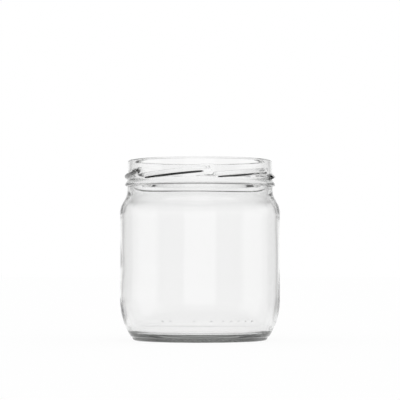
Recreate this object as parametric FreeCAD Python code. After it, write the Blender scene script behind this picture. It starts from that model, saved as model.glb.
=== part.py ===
import FreeCAD, Part
import math
import os

# Round open jar of clear glass with a six-lug twist finish, in one piece.
# Millimetres, +Z up, origin at the centre of the bearing ring that the jar stands on, front towards -Y.

# Overall sizes
jar_height = 98.0
body_diameter = 87.2           # over the two contact bands

# Base: flat bearing ring, push-up inside it, notched corner outside it
bearing_width = 2.0
push_up_height = 2.6
plate_corner = 1.7             # radius of the corner between the ring and the plate edge
plate_edge_height = 1.9        # top of the part that the bottom plate of the mould forms
plate_setback = 1.0            # how far that part lies inside the heel
parting_height = 2.4           # where the heel begins
notch_count = 90
notch_radius = 0.4

# Heel, contact bands and label panel
heel_diameter = 75.8           # where the heel begins
heel_height = 22.5             # where the heel meets the lower contact band
lower_band_height = 10.0
upper_band_height = 4.7
band_blend = 1.6               # height of the slope between a band and the panel
panel_recess = 0.18            # depth of the label panel

# Row of raised dots on the front of the heel
dot_height = 11.0
dot_radius = 0.6
dot_relief = 0.25
dot_root = 1.0                 # how far a dot reaches into the wall
dot_angles = (-28.0, -22.0, -4.0, 8.0, 17.0, 23.0, 29.0, 35.0, 41.0)

# Shoulder, neck and the transfer bead below the lugs
shoulder_height = 12.8
neck_step = 0.15               # how far the neck stands out from the wall of the finish
neck_height = 1.6
bead_reach = 1.5               # how far the bead stands out from the wall of the finish
bead_drop = 14.4               # from the rim down to the underside of the bead
bead_height = 3.8
bead_land = 0.9                # upright edge of the bead
bead_undercut = 0.4            # slope of its underside

# Finish: the wall that the lid closes on, and its rounded rim
finish_diameter = 78.9
rim_outer_radius = 1.2
rim_inner_radius = 0.7

# Lugs: short slanted ridges, each rising to the right
lug_count = 6
lug_reach = 1.7                # how far the crests stand out from the wall of the finish
lug_span = 61.0                # degrees round the finish
lug_rise = 3.85                # climb of a lug over its span
lug_drop = 11.1                # from the rim down to the underside of its low end
lug_root_height = 2.7
lug_crest_height = 1.0
lug_root_depth = 0.7           # how far a lug reaches into the wall
lug_first_angle = -50.0        # low end of the first lug, from the front towards +X
lug_stations = 9               # sections that a lug is lofted through
lug_lead_in = 0.10             # share of the span over which the low end rises to full depth
lug_run_out = 0.28             # share of the span over which the high end fades

# Walls
rim_wall = 2.0
neck_wall = 2.9
body_wall = 2.1
heel_wall = 2.9
floor_thickness = 3.6          # at the middle of the base
floor_fall = 1.4               # how far the floor falls from its middle to its edge
floor_fillet = 3.0
mouth_depth = 10.0             # straight bore below the rim
inner_shoulder_drop = 2.6      # the inner shoulder ends this far below the outer one
inner_heel_lift = 1.5          # the inner heel ends this far above the outer one


UP = FreeCAD.Vector(0, 0, 1)
DOWN = FreeCAD.Vector(0, 0, -1)
OUT = FreeCAD.Vector(1, 0, 0)
BACK = FreeCAD.Vector(0, 1, 0)
ORIGIN = FreeCAD.Vector(0, 0, 0)


def point(radius, height):
    """A point of the outline, in the XZ half plane."""
    return FreeCAD.Vector(radius, 0, height)


def leaving(start, direction, end):
    """Arc that leaves `start` along a unit `direction` and ends at `end`, straight if `end` lies that way."""
    chord = end - start
    cosine = direction.dot(chord) / chord.Length
    if cosine > 1 - 1e-9:
        return Part.makeLine(start, end)
    aside = direction - chord * (cosine / chord.Length)
    mid = (start + end) * 0.5 + aside * (chord.Length / (2 + 2 * cosine))
    return Part.Arc(start, mid, end).toShape()


def double_curve(start, end):
    """Two equal arcs between `start` and `end`, vertical at both ends."""
    middle = (start + end) * 0.5
    rise = FreeCAD.Vector(0, 0, math.copysign(1, end.z - start.z))
    return [leaving(start, rise, middle), leaving(end, rise * -1, middle)]


def lines(points):
    """Straight edges through the points."""
    return [Part.makeLine(a, b) for a, b in zip(points, points[1:])]


def around_front(shape, angle):
    """Copy of a shape made at the front, turned by `angle` degrees towards +X."""
    turned = shape.copy()
    turned.rotate(ORIGIN, UP, angle)
    return turned


body_radius = body_diameter / 2
panel_radius = body_radius - panel_recess
heel_radius = heel_diameter / 2
finish_radius = finish_diameter / 2
neck_radius = finish_radius + neck_step
bead_radius = finish_radius + bead_reach
plate_radius = heel_radius - plate_setback
bearing_outer = plate_radius - plate_corner
bearing_inner = bearing_outer - bearing_width

bead_bottom = jar_height - bead_drop
shoulder_top = bead_bottom - neck_height
shoulder_bottom = shoulder_top - shoulder_height
lower_band_top = heel_height + lower_band_height
upper_band_bottom = shoulder_bottom - upper_band_height


def heel_outline(height):
    """Outer radius of the heel at a height between the parting line and the lower band."""
    across = body_radius - heel_radius
    along = heel_height - parting_height
    radius = (across ** 2 + along ** 2) / (2 * across)
    return body_radius - radius + math.sqrt(radius ** 2 - (heel_height - height) ** 2)


def outer_edges():
    """Outside of the jar, from the middle of the base up to the rim."""
    ring_in = point(bearing_inner, 0)
    ring_out = point(bearing_outer, 0)
    plate_side = point(plate_radius, plate_corner)
    heel_start = point(heel_radius, parting_height)
    heel_end = point(body_radius, heel_height)
    edges = [leaving(point(0, push_up_height), OUT, ring_in)]
    edges += lines([ring_in, ring_out])
    edges += [leaving(ring_out, OUT, plate_side)]
    edges += lines([plate_side, point(plate_radius, plate_edge_height), heel_start])
    edges += [leaving(heel_end, DOWN, heel_start)]
    edges += lines([
        heel_end,
        point(body_radius, lower_band_top),
        point(panel_radius, lower_band_top + band_blend),
        point(panel_radius, upper_band_bottom - band_blend),
        point(body_radius, upper_band_bottom),
        point(body_radius, shoulder_bottom),
    ])
    neck_start = point(neck_radius, shoulder_top)
    edges += double_curve(point(body_radius, shoulder_bottom), neck_start)
    rim_side = point(finish_radius, jar_height - rim_outer_radius)
    edges += lines([
        neck_start,
        point(neck_radius, bead_bottom),
        point(bead_radius, bead_bottom + bead_undercut),
        point(bead_radius, bead_bottom + bead_undercut + bead_land),
        point(finish_radius, bead_bottom + bead_height),
        rim_side,
    ])
    edges += [leaving(rim_side, UP, point(finish_radius - rim_outer_radius, jar_height))]
    return edges


def inner_edges():
    """Inside of the jar, from the rim down to the middle of the floor."""
    mouth_radius = finish_radius - rim_wall
    bore_radius = neck_radius - neck_wall
    inner_radius = body_radius - body_wall
    rim_top = point(finish_radius - rim_outer_radius, jar_height)
    lip = point(mouth_radius + rim_inner_radius, jar_height)
    lip_end = point(mouth_radius, jar_height - rim_inner_radius)
    edges = lines([rim_top, lip])
    edges += [leaving(lip_end, UP, lip)]
    mouth_end = point(mouth_radius, jar_height - mouth_depth)
    bore_start = point(bore_radius, bead_bottom)
    edges += lines([lip_end, mouth_end])
    edges += double_curve(mouth_end, bore_start)
    bore_end = point(bore_radius, shoulder_top)
    shoulder_end = point(inner_radius, shoulder_bottom - inner_shoulder_drop)
    heel_end = point(inner_radius, heel_height + inner_heel_lift)
    edges += lines([bore_start, bore_end])
    edges += double_curve(bore_end, shoulder_end)
    edges += lines([shoulder_end, heel_end])
    floor_middle = point(0, push_up_height + floor_thickness)
    floor_edge_height = floor_middle.z - floor_fall
    corner_height = floor_edge_height + floor_fillet
    corner_radius = heel_outline(corner_height) - heel_wall
    corner_top = point(corner_radius, corner_height)
    floor_edge = point(corner_radius - floor_fillet, floor_edge_height)
    edges += [leaving(heel_end, DOWN, corner_top)]
    edges += [leaving(corner_top, DOWN, floor_edge)]
    edges += [leaving(floor_middle, OUT, floor_edge)]
    edges += lines([floor_middle, point(0, push_up_height)])
    return edges


def wall_of_glass():
    """The turned body: base, heel, walls, shoulder, neck, bead and rim."""
    outline = Part.Wire(Part.__sortEdges__(outer_edges() + inner_edges()))
    return Part.Face(outline).revolve(ORIGIN, UP, 360)


def lug_depth(share):
    """Depth of a lug, as a share of its full depth, at a share of its span."""
    rising = min(share / lug_lead_in, 1)
    fading = min((1 - share) / lug_run_out, 1)
    return max(math.sin(min(rising, fading) * math.pi / 2), 0.12)


def lug_section(share):
    """Closed section of a lug at a share of its span, turned to its place round the finish."""
    root = finish_radius - lug_root_depth
    crest = finish_radius + lug_reach * lug_depth(share)
    underside = jar_height - lug_drop + lug_rise * share
    slope = (lug_root_height - lug_crest_height) / 2
    corners = [
        FreeCAD.Vector(0, -root, underside - slope),
        FreeCAD.Vector(0, -crest, underside),
        FreeCAD.Vector(0, -crest, underside + lug_crest_height),
        FreeCAD.Vector(0, -root, underside + lug_crest_height + slope),
    ]
    section = Part.makePolygon(corners + corners[:1])
    return around_front(section, lug_first_angle + lug_span * share)


def lugs():
    """All lugs, evenly spaced round the finish."""
    sections = [lug_section(i / (lug_stations - 1)) for i in range(lug_stations)]
    first = Part.makeLoft(sections, True, False)
    return [around_front(first, 360 * i / lug_count) for i in range(lug_count)]


def dots():
    """The raised dots on the heel, each the end of a short round peg set into the glass."""
    crest = heel_outline(dot_height) + dot_relief
    peg = Part.makeCylinder(dot_radius, dot_root + dot_relief, FreeCAD.Vector(0, -crest, dot_height), BACK)
    return [around_front(peg, angle) for angle in dot_angles]


def notches():
    """Radial grooves in the chamfer between the bearing ring and the parting line."""
    inner = FreeCAD.Vector(0, -bearing_outer - notch_radius, 0)
    outer = FreeCAD.Vector(0, -plate_radius - notch_radius, plate_edge_height)
    groove = Part.makeCylinder(notch_radius, (outer - inner).Length, inner, outer - inner)
    return [around_front(groove, 360 * i / notch_count) for i in range(notch_count)]


def jar():
    """The whole jar as one solid."""
    shape = wall_of_glass().multiFuse(lugs() + dots())
    return shape.cut(Part.makeCompound(notches()))


os.makedirs("parts", exist_ok=True)
glass = jar()
solid = glass.Solids[0]
print("solids", len(glass.Solids), "valid", solid.isValid(), "faces", len(solid.Faces))
print("volume", round(solid.Volume / 1000, 2), "cubic centimetres, box", solid.BoundBox)
solid.exportStep("parts/jar.step")
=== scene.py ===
import logging
import math
from dataclasses import dataclass, field
from enum import Enum

import bmesh
import bpy
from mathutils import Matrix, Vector


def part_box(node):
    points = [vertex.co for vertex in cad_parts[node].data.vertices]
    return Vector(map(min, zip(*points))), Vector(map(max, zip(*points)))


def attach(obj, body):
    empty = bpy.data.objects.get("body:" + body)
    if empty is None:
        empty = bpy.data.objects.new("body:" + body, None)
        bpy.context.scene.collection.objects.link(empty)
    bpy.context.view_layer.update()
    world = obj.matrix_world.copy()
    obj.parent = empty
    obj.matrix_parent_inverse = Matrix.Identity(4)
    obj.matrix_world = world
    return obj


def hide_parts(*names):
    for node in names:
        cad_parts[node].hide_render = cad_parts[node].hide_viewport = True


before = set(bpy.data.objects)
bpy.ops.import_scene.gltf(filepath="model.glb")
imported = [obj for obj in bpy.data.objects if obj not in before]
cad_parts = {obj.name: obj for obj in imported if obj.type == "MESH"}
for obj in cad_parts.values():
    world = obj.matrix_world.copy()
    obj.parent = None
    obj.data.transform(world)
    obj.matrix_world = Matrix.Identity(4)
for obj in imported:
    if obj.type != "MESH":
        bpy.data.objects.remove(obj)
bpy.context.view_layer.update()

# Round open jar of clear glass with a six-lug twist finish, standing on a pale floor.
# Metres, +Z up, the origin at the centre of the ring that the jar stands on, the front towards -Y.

MM = 0.001
FULL_TURN = 2 * math.pi
STRAIGHT = 1e-6  # an arc that bends less than this, in millimetres, is drawn as a line
log = logging.getLogger("jar")


def smooth_step(value: float, start: float, end: float) -> float:
    """Rise smoothly from 0 at `start` to 1 at `end`.

    Args:
        value: Where to read the rise.
        start: Where the rise begins.
        end: Where it ends.

    Returns:
        A share from 0 to 1.
    """
    share = min(max((value - start) / (end - start), 0.0), 1.0)
    return share * share * (3 - 2 * share)


def ramp(value: float, start: float, end: float, rounding: float = 0.2) -> float:
    """Rise evenly from 0 at `start` to 1 at `end`, rounded off at both ends.

    Args:
        value: Where to read the rise.
        start: Where the rise begins.
        end: Where it ends.
        rounding: Share of the rise that each rounding takes.

    Returns:
        A share from 0 to 1.
    """
    share = min(max((value - start) / (end - start), 0.0), 1.0)
    if share > 0.5:
        return 1 - ramp(1 - share, 0.0, 1.0, rounding)
    if share < rounding:
        return share * share / (2 * rounding * (1 - rounding))
    return (share - rounding / 2) / (1 - rounding)


class Way(Enum):
    """Unit directions in the half section, as (radius, height)."""

    UP = (0.0, 1.0)
    DOWN = (0.0, -1.0)
    OUT = (1.0, 0.0)
    IN = (-1.0, 0.0)


@dataclass
class Outline:
    """Half section of the jar: points of (radius, height) in millimetres, joined in order."""

    points: list[Vector] = field(default_factory=list)

    @property
    def end(self) -> Vector:
        """The last point."""
        return self.points[-1]

    def start(self, radius: float, height: float) -> None:
        """Set the first point."""
        self.points.append(Vector((radius, height)))

    def line(self, radius: float, height: float, steps: int = 1) -> None:
        """Run straight to a point, in equal steps."""
        start = self.end.copy()
        goal = Vector((radius, height))
        self.points += [start.lerp(goal, i / steps) for i in range(1, steps + 1)]

    def arc(self, way: Way, radius: float, height: float, steps: int) -> None:
        """Leave the last point along `way` and curve to another on one arc."""
        start = self.end.copy()
        self.points += self._arc_points(start, Vector(way.value), Vector((radius, height)), steps)[1:]

    def arc_into(self, way: Way, radius: float, height: float, steps: int) -> None:
        """Curve to a point on one arc and arrive there along `way`."""
        goal = Vector((radius, height))
        back = self._arc_points(goal, -Vector(way.value), self.end.copy(), steps)
        self.points += back[::-1][1:]

    def double_curve(self, way: Way, radius: float, height: float, steps: int) -> None:
        """Curve to a point on two equal arcs that run along `way` at both ends."""
        goal = Vector((radius, height))
        middle = (self.end + goal) / 2
        self.arc(way, middle.x, middle.y, steps // 2)
        self.arc_into(way, radius, height, steps // 2)

    def corner(self, radius: float, height: float, rounding: float, onward: tuple[float, float],
               steps: int = 4) -> None:
        """Run to a corner that points on to `onward`, and round it.

        Args:
            radius: Radius of the sharp corner.
            height: Height of the sharp corner.
            rounding: Radius of the rounding.
            onward: The next sharp point of the outline.
            steps: Segments of the rounding.
        """
        tip = Vector((radius, height))
        before = (self.end - tip).normalized()
        after = (Vector(onward) - tip).normalized()
        half = before.angle(after) / 2
        reach = rounding / math.tan(half)
        first = tip + before * reach
        self.points += self._arc_points(first, -before, tip + after * reach, steps)

    @staticmethod
    def _arc_points(start: Vector, way: Vector, goal: Vector, steps: int) -> list[Vector]:
        """Points of the arc that leaves `start` along the unit vector `way` and ends at `goal`."""
        chord = goal - start
        side = way - chord * (way.dot(chord) / chord.length_squared)
        if side.length < STRAIGHT:
            return [start.lerp(goal, i / steps) for i in range(steps + 1)]
        turn = 2 * way.angle(chord)
        radius = chord.length / (2 * math.sin(turn / 2))
        across = -(side - way * side.dot(way)).normalized()
        spread = [turn * i / steps for i in range(steps + 1)]
        return [start + way * (radius * math.sin(a)) + across * (radius * (1 - math.cos(a))) for a in spread]


@dataclass
class Base:
    """The foot of the jar: push-up, bearing ring, notched corner, heel and row of dots."""

    push_up: float = 2.6
    ring_width: float = 2.0
    plate_corner: float = 1.7
    plate_setback: float = 1.0
    plate_top: float = 1.9
    parting_height: float = 2.4
    parting_rounding: float = 0.15
    heel_radius: float = 37.9
    heel_height: float = 22.5
    heel_lean: tuple[float, float] = (0.5, 1.0)
    notch_count: int = 90
    notch_depth: float = 0.32
    notch_foot: tuple[float, float] = (0.02, 0.5)
    notch_fade: float = 1.5
    dot_height: float = 11.0
    dot_radius: float = 0.7
    dot_relief: float = 0.4
    dot_crown: float = 0.25
    dot_angles: tuple[float, ...] = (-28.0, -22.0, -4.0, 8.0, 17.0, 23.0, 29.0, 35.0, 41.0)

    @property
    def plate_radius(self) -> float:
        """Outer radius of the part that the bottom plate of the mould forms."""
        return self.heel_radius - self.plate_setback

    def draw(self, outline: Outline, body_radius: float) -> None:
        """Add the outside of the foot, from the middle of the base up to the body."""
        ring_out = self.plate_radius - self.plate_corner
        outline.start(0.0, self.push_up)
        outline.arc(Way.OUT, ring_out - self.ring_width, 0.0, steps=10)
        outline.line(ring_out, 0.0, steps=2)
        outline.arc(Way.OUT, self.plate_radius, self.plate_corner, steps=9)
        edge = (self.plate_radius, self.plate_top)
        start = (self.heel_radius, self.parting_height)
        outline.corner(*edge, self.parting_rounding, start, steps=2)
        onward = (self.heel_radius + self.heel_lean[0], self.parting_height + self.heel_lean[1])
        outline.corner(*start, self.parting_rounding, onward, steps=3)
        outline.arc_into(Way.UP, body_radius, self.heel_height, steps=26)

    def heel_outline(self, height: float, body_radius: float) -> float:
        """Outer radius of the heel at a height."""
        across = body_radius - self.heel_radius
        along = self.heel_height - self.parting_height
        radius = (across ** 2 + along ** 2) / (2 * across)
        return body_radius - radius + math.sqrt(radius ** 2 - (self.heel_height - height) ** 2)

    def notch(self, angle: float, height: float) -> float:
        """Depth of the notches at an angle round the jar, in degrees, and a height."""
        if not self.notch_foot[0] < height < self.plate_top:
            return 0.0
        wave = 0.5 - 0.5 * math.cos(math.radians(angle * self.notch_count))
        foot = smooth_step(height, *self.notch_foot)
        return self.notch_depth * wave * foot * (1 - smooth_step(height, self.notch_fade, self.plate_top))

    def dot(self, distance: float) -> float:
        """Height of a dot at a distance from its middle."""
        crown = self.dot_crown * self.dot_radius
        return self.dot_relief * (1 - smooth_step(distance, crown, self.dot_radius))


@dataclass
class Body:
    """The upright wall: two contact bands with the label panel between them, and the shoulder."""

    radius: float
    lower_band: float = 10.0
    upper_band: float = 4.7
    blend: float = 7.0
    recess: float = 0.18
    shoulder_height: float = 12.8

    def draw(self, outline: Outline, shoulder_bottom: float, neck_radius: float) -> None:
        """Add the outside of the wall, from the heel up to the neck."""
        panel = self.radius - self.recess
        band_top = outline.end.y + self.lower_band
        band_bottom = shoulder_bottom - self.upper_band
        outline.line(self.radius, band_top, steps=4)
        outline.double_curve(Way.UP, panel, band_top + self.blend, steps=4)
        outline.line(panel, band_bottom - self.blend, steps=12)
        outline.double_curve(Way.UP, self.radius, band_bottom, steps=4)
        outline.line(self.radius, shoulder_bottom, steps=3)
        outline.double_curve(Way.UP, neck_radius, shoulder_bottom + self.shoulder_height, steps=20)


@dataclass
class Finish:
    """The top of the jar: neck, bead, the six lugs, and the rounded rim."""

    top: float
    radius: float = 39.45
    neck_step: float = 0.15
    neck_height: float = 1.6
    bead_drop: float = 14.4
    bead_height: float = 3.8
    bead_reach: float = 1.5
    bead_land: float = 0.9
    bead_undercut: float = 0.4
    bead_rounding: float = 0.2
    bead_foot_run: float = 0.3
    bead_foot_rounding: float = 0.25
    bead_top_rounding: float = 0.3
    lug_zone: float = 5.0
    rim_outer: float = 1.2
    rim_inner: float = 0.7
    lug_count: int = 6
    lug_reach: float = 1.7
    lug_span: float = 61.0
    lug_rise: float = 3.85
    lug_drop: float = 11.1
    lug_first: float = -50.0
    lug_under: tuple[float, float] = (-0.70, 0.70)
    lug_over: tuple[float, float] = (0.8, 2.9)
    lug_lead_in: float = 0.10
    lug_run_out: float = 0.28

    @property
    def neck_radius(self) -> float:
        """Outer radius of the neck."""
        return self.radius + self.neck_step

    @property
    def bead_bottom(self) -> float:
        """Height of the underside of the bead."""
        return self.top - self.bead_drop

    def draw(self, outline: Outline) -> None:
        """Add the outside of the finish, from the neck up to the top of the rim."""
        bead = self.radius + self.bead_reach
        land = self.bead_bottom + self.bead_undercut
        cone_top = self.bead_bottom + self.bead_height
        outline.line(self.neck_radius, self.bead_bottom - self.bead_foot_run, steps=3)
        outline.corner(self.neck_radius, self.bead_bottom, self.bead_foot_rounding, (bead, land), steps=3)
        outline.corner(bead, land, self.bead_rounding, (bead, land + self.bead_land), steps=4)
        outline.corner(bead, land + self.bead_land, self.bead_top_rounding, (self.radius, cone_top), steps=3)
        outline.line(self.radius, cone_top, steps=14)
        outline.line(self.radius, self.top - self.lug_zone, steps=50)
        outline.line(self.radius, self.top - self.rim_outer, steps=3)
        outline.arc(Way.UP, self.radius - self.rim_outer, self.top, steps=8)

    def lug(self, angle: float, height: float) -> float:
        """How far the lugs stand out at an angle round the jar, in degrees, and a height."""
        pitch = 360 / self.lug_count
        return max(self._one_lug((angle - self.lug_first) % pitch + turn, height) for turn in (0.0, pitch))

    def _one_lug(self, along: float, height: float) -> float:
        """How far one lug stands out, at degrees from its low end."""
        share = along / self.lug_span
        if share > 1:
            return 0.0
        rise = height - (self.top - self.lug_drop + self.lug_rise * share)
        section = ramp(rise, *self.lug_under) * (1 - ramp(rise, *self.lug_over))
        ends = smooth_step(share, 0.0, self.lug_lead_in) * smooth_step(1 - share, 0.0, self.lug_run_out)
        return self.lug_reach * section * ends


@dataclass(frozen=True)
class Stretch:
    """A belt of the wall that was blown thinner, or thicker where negative, in millimetres."""

    height: float
    spread: float
    left: float
    right: float

    def thinner(self, height: float, left_share: float) -> float:
        """How much this belt thins the wall.

        Args:
            height: Height above the ring that the jar stands on.
            left_share: 1 at the left of the jar, 0 at its right.

        Returns:
            Millimetres, which are negative where the wall is thicker.
        """
        nearness = math.exp(-((height - self.height) / self.spread) ** 2)
        return nearness * (self.left * left_share + self.right * (1 - left_share))


@dataclass
class Inside:
    """The inner surface, as wall thicknesses inward from the outside."""

    rim_wall: float = 2.0
    neck_wall: float = 2.9
    body_wall: float = 2.1
    heel_wall: float = 2.9
    floor_thickness: float = 3.6
    floor_fall: float = 1.4
    floor_fillet: float = 3.0
    mouth_depth: float = 10.0
    shoulder_drop: float = 2.6
    heel_lift: float = 1.5
    ripple: float = 0.12
    ripple_length: float = 6.1
    ripple_lean: float = 1.3
    ripple_twist: float = 23.0
    ripple_start: tuple[float, float] = (8.0, 20.0)
    ripple_end: tuple[float, float] = (74.0, 86.0)
    stretches: tuple[Stretch, ...] = (
        Stretch(height=73.0, spread=6.5, left=0.65, right=0.7),
        Stretch(height=48.0, spread=13.0, left=-0.15, right=-0.25),
        Stretch(height=24.0, spread=8.0, left=0.45, right=-0.15),
    )

    def draw(self, outline: Outline, base: Base, body: Body, finish: Finish) -> None:
        """Add the inner surface, from the rim down to the middle of the floor."""
        mouth = finish.radius - self.rim_wall
        bore = finish.neck_radius - self.neck_wall
        inner = body.radius - self.body_wall
        shoulder_top = finish.bead_bottom - finish.neck_height
        shoulder_bottom = shoulder_top - body.shoulder_height
        outline.line(mouth + finish.rim_inner, finish.top)
        outline.arc_into(Way.DOWN, mouth, finish.top - finish.rim_inner, steps=5)
        outline.line(mouth, finish.top - self.mouth_depth, steps=6)
        outline.double_curve(Way.DOWN, bore, finish.bead_bottom, steps=8)
        outline.line(bore, shoulder_top, steps=2)
        outline.double_curve(Way.DOWN, inner, shoulder_bottom - self.shoulder_drop, steps=20)
        outline.line(inner, base.heel_height + self.heel_lift, steps=26)
        middle = base.push_up + self.floor_thickness
        edge_height = middle - self.floor_fall
        corner_height = edge_height + self.floor_fillet
        corner_radius = base.heel_outline(corner_height, body.radius) - self.heel_wall
        outline.arc(Way.DOWN, corner_radius, corner_height, steps=14)
        outline.arc(Way.DOWN, corner_radius - self.floor_fillet, edge_height, steps=8)
        outline.arc_into(Way.IN, 0.0, middle, steps=10)

    def thinner(self, angle: float, height: float) -> float:
        """How much thinner the blown wall is than drawn.

        Args:
            angle: Degrees round the jar from the front towards +X.
            height: Height above the ring that the jar stands on, in millimetres.

        Returns:
            Millimetres, which are negative where the wall is thicker.
        """
        turn = math.radians(angle)
        left_share = 0.5 - 0.5 * math.sin(turn)
        blown = sum(stretch.thinner(height, left_share) for stretch in self.stretches)
        inside_ends = smooth_step(height, *self.ripple_start) * (1 - smooth_step(height, *self.ripple_end))
        up = math.sin(height / self.ripple_length + self.ripple_lean * math.cos(turn))
        ripple = up * math.cos(2 * turn + height / self.ripple_twist)
        return blown + self.ripple * ripple * inside_ends


@dataclass(frozen=True)
class ClearGlass:
    """Soda-lime glass: clear and smooth, and darker the further light runs through it; this grey absorption
    is far stronger than clear glass has, so it paints shade into the thick base and the edges of the wall.
    """

    slot: str = "glass"
    color: tuple[float, float, float, float] = (1.0, 1.0, 1.0, 1.0)
    ior: float = 1.5
    roughness: float = 0.0
    # Painted shade: this grey absorption is much stronger than the glass's own, so that thick glass such as
    # the base and the wall's edges turns dark.
    shade_absorption_color: tuple[float, float, float, float] = (0.5, 0.51, 0.5, 1.0)
    shade_absorption_density: float = 36.0

    def make(self) -> bpy.types.Material:
        """Build the material."""
        nodes = Nodes.of_material("clear_glass")
        shader = nodes.add("ShaderNodeBsdfPrincipled", None, {
            "Base Color": self.color,
            "Roughness": self.roughness,
            "IOR": self.ior,
            "Transmission Weight": 1.0,
        })
        # Painted shade: the strong absorption darkens the base and the wall's edges wherever light runs a
        # long way through the glass.
        volume = nodes.add("ShaderNodeVolumeAbsorption", None, {
            "Color": self.shade_absorption_color,
            "Density": self.shade_absorption_density,
        })
        nodes.output(Surface=shader.outputs["BSDF"], Volume=volume.outputs["Volume"])
        return nodes.owner


class Wire:
    """A number socket in a node tree, on which Python's operators add Math nodes."""

    def __init__(self, nodes: "Nodes", socket: bpy.types.NodeSocket) -> None:
        """Wrap a socket of a tree."""
        self.nodes = nodes
        self.socket = socket

    def _math(self, operation: str, *values: object) -> "Wire":
        """Add a Math node and wrap its result."""
        return self.nodes.math(operation, *values)

    def __add__(self, other: object) -> "Wire":
        """Sum."""
        return self._math("ADD", self, other)

    __radd__ = __add__

    def __sub__(self, other: object) -> "Wire":
        """Difference."""
        return self._math("SUBTRACT", self, other)

    def __rsub__(self, other: object) -> "Wire":
        """Difference from a number."""
        return self._math("SUBTRACT", other, self)

    def __mul__(self, other: object) -> "Wire":
        """Product."""
        return self._math("MULTIPLY", self, other)

    __rmul__ = __mul__

    def over(self, other: object) -> "Wire":
        """The larger of two values."""
        return self._math("MAXIMUM", self, other)

    def step(self, start: float, end: float) -> "Wire":
        """Smooth rise from 0 at `start` to 1 at `end`."""
        node = self.nodes.add("ShaderNodeMapRange", {"interpolation_type": "SMOOTHSTEP"}, {
            "Value": self,
            "From Min": start,
            "From Max": end,
        })
        return Wire(self.nodes, node.outputs["Result"])


class Nodes:
    """The node tree of a material or a world, filled through one method."""

    def __init__(self, owner: bpy.types.ID) -> None:
        """Take the owner's tree and empty it."""
        owner.use_nodes = True
        self.owner = owner
        self.tree = owner.node_tree
        self.tree.nodes.clear()

    @classmethod
    def of_material(cls, name: str) -> "Nodes":
        """Make a material and take its tree."""
        return cls(bpy.data.materials.new(name))

    @classmethod
    def of_world(cls, name: str) -> "Nodes":
        """Make the scene's world and take its tree."""
        world = bpy.data.worlds.new(name)
        bpy.context.scene.world = world
        return cls(world)

    def add(self, kind: str, settings: dict[str, object] | None = None,
            inputs: dict[object, object] | None = None) -> bpy.types.Node:
        """Add a node.

        Args:
            kind: The node's type.
            settings: Its properties, which are set first.
            inputs: Values, sockets or wires for its inputs, by name or number.

        Returns:
            The node.
        """
        node = self.tree.nodes.new(kind)
        for name, value in (settings or {}).items():
            setattr(node, name, value)
        for key, value in (inputs or {}).items():
            self._feed(node.inputs[key], value)
        return node

    def math(self, operation: str, *values: object) -> Wire:
        """Add a Math node and wrap its result."""
        node = self.add("ShaderNodeMath", {"operation": operation}, dict(enumerate(values)))
        return Wire(self, node.outputs["Value"])

    def output(self, **inputs: object) -> None:
        """Add the output node that fits the owner and feed it."""
        owner = "World" if isinstance(self.owner, bpy.types.World) else "Material"
        self.add(f"ShaderNodeOutput{owner}", None, inputs)

    def _feed(self, socket: bpy.types.NodeSocket, value: object) -> None:
        """Link a socket or wire to an input, or set its value."""
        if isinstance(value, Wire):
            value = value.socket
        if isinstance(value, bpy.types.NodeSocket):
            self.tree.links.new(value, socket)
        else:
            socket.default_value = value


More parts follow.
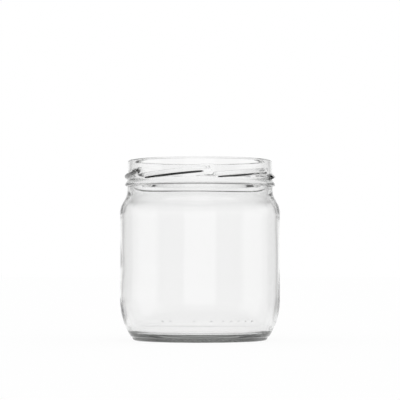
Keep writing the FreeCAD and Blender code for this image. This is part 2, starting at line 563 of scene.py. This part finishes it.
@dataclass
class GlassJar:
    """The whole jar, one closed piece of glass."""

    base: Base
    body: Body
    finish: Finish
    inside: Inside
    columns: int = 270
    dot_reach: float = 1.3
    same_point: float = 1e-4
    on_axis: float = 1e-3
    wall_margin: float = 0.05
    above_bead: float = 1.0

    def outlines(self) -> tuple[list[Vector], int]:
        """Half section of the jar, and the number of its points that lie on the outside."""
        outline = Outline()
        shoulder_bottom = self.finish.bead_bottom - self.finish.neck_height - self.body.shoulder_height
        self.base.draw(outline, self.body.radius)
        self.body.draw(outline, shoulder_bottom, self.finish.neck_radius)
        self.finish.draw(outline)
        outside = len(outline.points)
        self.inside.draw(outline, self.base, self.body, self.finish)
        return outline.points, outside

    def build(self) -> bpy.types.Object:
        """Turn the half section, carve its relief, and make the piece.

        Returns:
            The jar's object.
        """
        points, outside = self.outlines()
        mesh = bmesh.new()
        inner = mesh.verts.layers.int.new("inner")
        verts = []
        for index, point in enumerate(points):
            vert = mesh.verts.new((point.x, 0.0, point.y))
            vert[inner] = int(index > outside)
            verts.append(vert)
        edges = [mesh.edges.new(pair) for pair in zip(verts, verts[1:])]
        bmesh.ops.spin(mesh, geom=verts + edges, cent=(0, 0, 0), axis=(0, 0, 1), angle=FULL_TURN,
                       steps=self.columns, use_merge=True)
        bmesh.ops.remove_doubles(mesh, verts=mesh.verts, dist=self.same_point)
        self._refine_dots(mesh)
        self._carve(mesh, inner)
        bmesh.ops.recalc_face_normals(mesh, faces=mesh.faces)
        bmesh.ops.scale(mesh, vec=(MM, MM, MM), verts=mesh.verts)
        for face in mesh.faces:
            face.smooth = True
        return new_piece("jar_glass", mesh)

    def _dot_places(self) -> list[Vector]:
        """Middles of the dots on the heel, in millimetres."""
        height = self.base.dot_height
        radius = self.base.heel_outline(height, self.body.radius)
        turns = [math.radians(angle) for angle in self.base.dot_angles]
        return [Vector((radius * math.sin(a), -radius * math.cos(a), height)) for a in turns]

    def _refine_dots(self, mesh: bmesh.types.BMesh) -> None:
        """Divide the outer faces round each dot finely enough for its shape."""
        places = self._dot_places()
        near = [edge for edge in mesh.edges
                if any((vert.co - place).length < self.dot_reach for vert in edge.verts for place in places)]
        bmesh.ops.subdivide_edges(mesh, edges=near, cuts=3, use_grid_fill=True)

    def _carve(self, mesh: bmesh.types.BMesh, inner: bmesh.types.BMLayerItem) -> None:
        """Move the vertices in or out for the lugs, notches, dots and uneven inner wall."""
        places = self._dot_places()
        for vert in mesh.verts:
            radius = math.hypot(vert.co.x, vert.co.y)
            if radius < self.on_axis:
                continue
            angle = math.degrees(math.atan2(vert.co.x, -vert.co.y))
            height = vert.co.z
            target = radius
            if vert[inner]:
                target = radius + self.inside.thinner(angle, height)
            elif height > self.finish.bead_bottom + self.above_bead:
                if radius > self.finish.radius - self.wall_margin:
                    target = max(radius, self.finish.radius + self.finish.lug(angle, height))
            elif height < self.base.plate_top and radius > self.base.plate_radius - self.base.plate_corner:
                target = radius - self.base.notch(angle, height)
            elif abs(height - self.base.dot_height) < 2 * self.base.dot_radius:
                target = radius + max(self.base.dot((vert.co - place).length) for place in places)
            vert.co.x *= target / radius
            vert.co.y *= target / radius


def new_piece(name: str, mesh: bmesh.types.BMesh) -> bpy.types.Object:
    """Make an object at the origin from a finished bmesh, and free the bmesh."""
    data = bpy.data.meshes.new(name)
    mesh.to_mesh(data)
    mesh.free()
    piece = bpy.data.objects.new(name, data)
    bpy.context.scene.collection.objects.link(piece)
    return piece


@dataclass(frozen=True)
class Card:
    """A pale grey card that stands upright beside the jar, in degrees."""

    bearing: float
    half_width: float = 21.0
    low: float = -12.0
    soft: float = 2.0
    darkness: float = 0.35

    def shade(self, nodes: Nodes, bearing: Wire, rise: Wire) -> Wire:
        """How much the card takes from the studio's light in a direction.

        Args:
            nodes: The node tree of the world.
            bearing: The direction's bearing, in radians from +Y towards +X.
            rise: The direction's upward share.

        Returns:
            A wire from 0, past the card, to its darkness, on it.
        """
        facing = nodes.math("COSINE", bearing - math.radians(self.bearing))
        outer, inner = (math.cos(math.radians(self.half_width + edge)) for edge in (self.soft, -self.soft))
        upright = above(rise, self.low - self.soft, self.low + self.soft)
        return facing.step(outer, inner) * upright * self.darkness


@dataclass(frozen=True)
class Studio:
    """What the glass sees round it: a white studio, four equal pale cards, and a dark ring of roof."""

    card_count: int = 4
    first_card: float = 45.0
    roof: tuple[float, float] = (20.0, 27.0)
    overhead: tuple[float, float] = (54.0, 62.0)
    least: float = 0.01

    def make(self) -> None:
        """Build the world."""
        nodes = Nodes.of_world("studio")
        way = nodes.add("ShaderNodeSeparateXYZ", None, {
            0: nodes.add("ShaderNodeTexCoord").outputs["Generated"],
        })
        east, north, rise = (Wire(nodes, way.outputs[i]) for i in range(3))
        bearing = nodes.math("ARCTAN2", east, north)
        bright = 1 - above(rise, *self.roof) * (1 - above(rise, *self.overhead))
        for turn in range(self.card_count):
            card = Card(self.first_card + 360 * turn / self.card_count)
            bright = bright * (1 - card.shade(nodes, bearing, rise))
        path = nodes.add("ShaderNodeLightPath")
        plain = Wire(nodes, path.outputs["Is Camera Ray"]).over(Wire(nodes, path.outputs["Is Diffuse Ray"]))
        level = plain.over(self.least + bright * (1 - self.least))
        shade = nodes.add("ShaderNodeBackground", None, {"Color": (1, 1, 1, 1), "Strength": level})
        nodes.output(Surface=shade.outputs["Background"])


def above(rise: Wire, start: float, end: float) -> Wire:
    """Rise from 0 to 1 between two heights in degrees, from a direction's upward share."""
    return rise.step(math.sin(math.radians(start)), math.sin(math.radians(end)))


@dataclass(frozen=True)
class Floor:
    """Pale floor that the jar stands on."""

    radius: float = 6.0
    drop: float = 0.00002
    color: tuple[float, float, float, float] = (0.93, 0.93, 0.93, 1.0)
    shown: float = 0.92

    def make(self) -> bpy.types.Object:
        """Build the floor with its material."""
        mesh = bmesh.new()
        bmesh.ops.create_circle(mesh, cap_ends=True, segments=96, radius=self.radius)
        bmesh.ops.translate(mesh, vec=(0, 0, -self.drop), verts=mesh.verts)
        floor = new_piece("studio_floor", mesh)
        nodes = Nodes.of_material("pale_floor")
        matt = nodes.add("ShaderNodeBsdfDiffuse", None, {"Color": self.color})
        plain = nodes.add("ShaderNodeEmission", None, {"Color": (1, 1, 1, 1), "Strength": 1.0})
        seen = Wire(nodes, nodes.add("ShaderNodeLightPath").outputs["Is Camera Ray"])
        mix = nodes.add("ShaderNodeMixShader", None, {
            0: seen * self.shown,
            1: matt.outputs["BSDF"],
            2: plain.outputs["Emission"],
        })
        nodes.output(Surface=mix.outputs["Shader"])
        floor.data.materials.append(nodes.owner)
        floor.visible_transmission = False
        floor.visible_glossy = False
        return floor


@dataclass(frozen=True)
class Camera:
    """The camera, in front of the jar and level with its lower half, tilted slightly up."""

    distance: float = 0.990
    height: float = 0.0402
    tilt: float = 2.094
    lens: float = 163.2
    sensor: float = 36.0

    def make(self) -> bpy.types.Object:
        """Build the camera and make it the scene's."""
        data = bpy.data.cameras.new("camera")
        data.lens = self.lens
        data.sensor_width = self.sensor
        camera = bpy.data.objects.new("camera", data)
        camera.location = (0.0, -self.distance, self.height)
        camera.rotation_euler = (math.radians(90 + self.tilt), 0.0, 0.0)
        bpy.context.scene.collection.objects.link(camera)
        bpy.context.scene.camera = camera
        return camera


def main() -> None:
    """Build the jar, the floor, the light and the camera."""
    logging.basicConfig(level=logging.INFO, format="%(message)s")
    scene = bpy.context.scene
    scene.view_settings.view_transform = "Standard"
    scene.cycles.max_bounces = 32
    scene.cycles.transmission_bounces = 32
    scene.cycles.glossy_bounces = 16
    low, high = (Vector(corner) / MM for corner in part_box("jar"))
    jar = GlassJar(Base(), Body(radius=(high.y - low.y) / 2), Finish(top=high.z), Inside())
    piece = jar.build()
    glass = ClearGlass()
    piece.data.materials.append(glass.make())
    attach(piece, "root")
    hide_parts("jar")
    log.info("%s: %d faces", piece.name, len(piece.data.polygons))
    Studio().make()
    Floor().make()
    Camera().make()


if __name__ == "__main__":
    main()
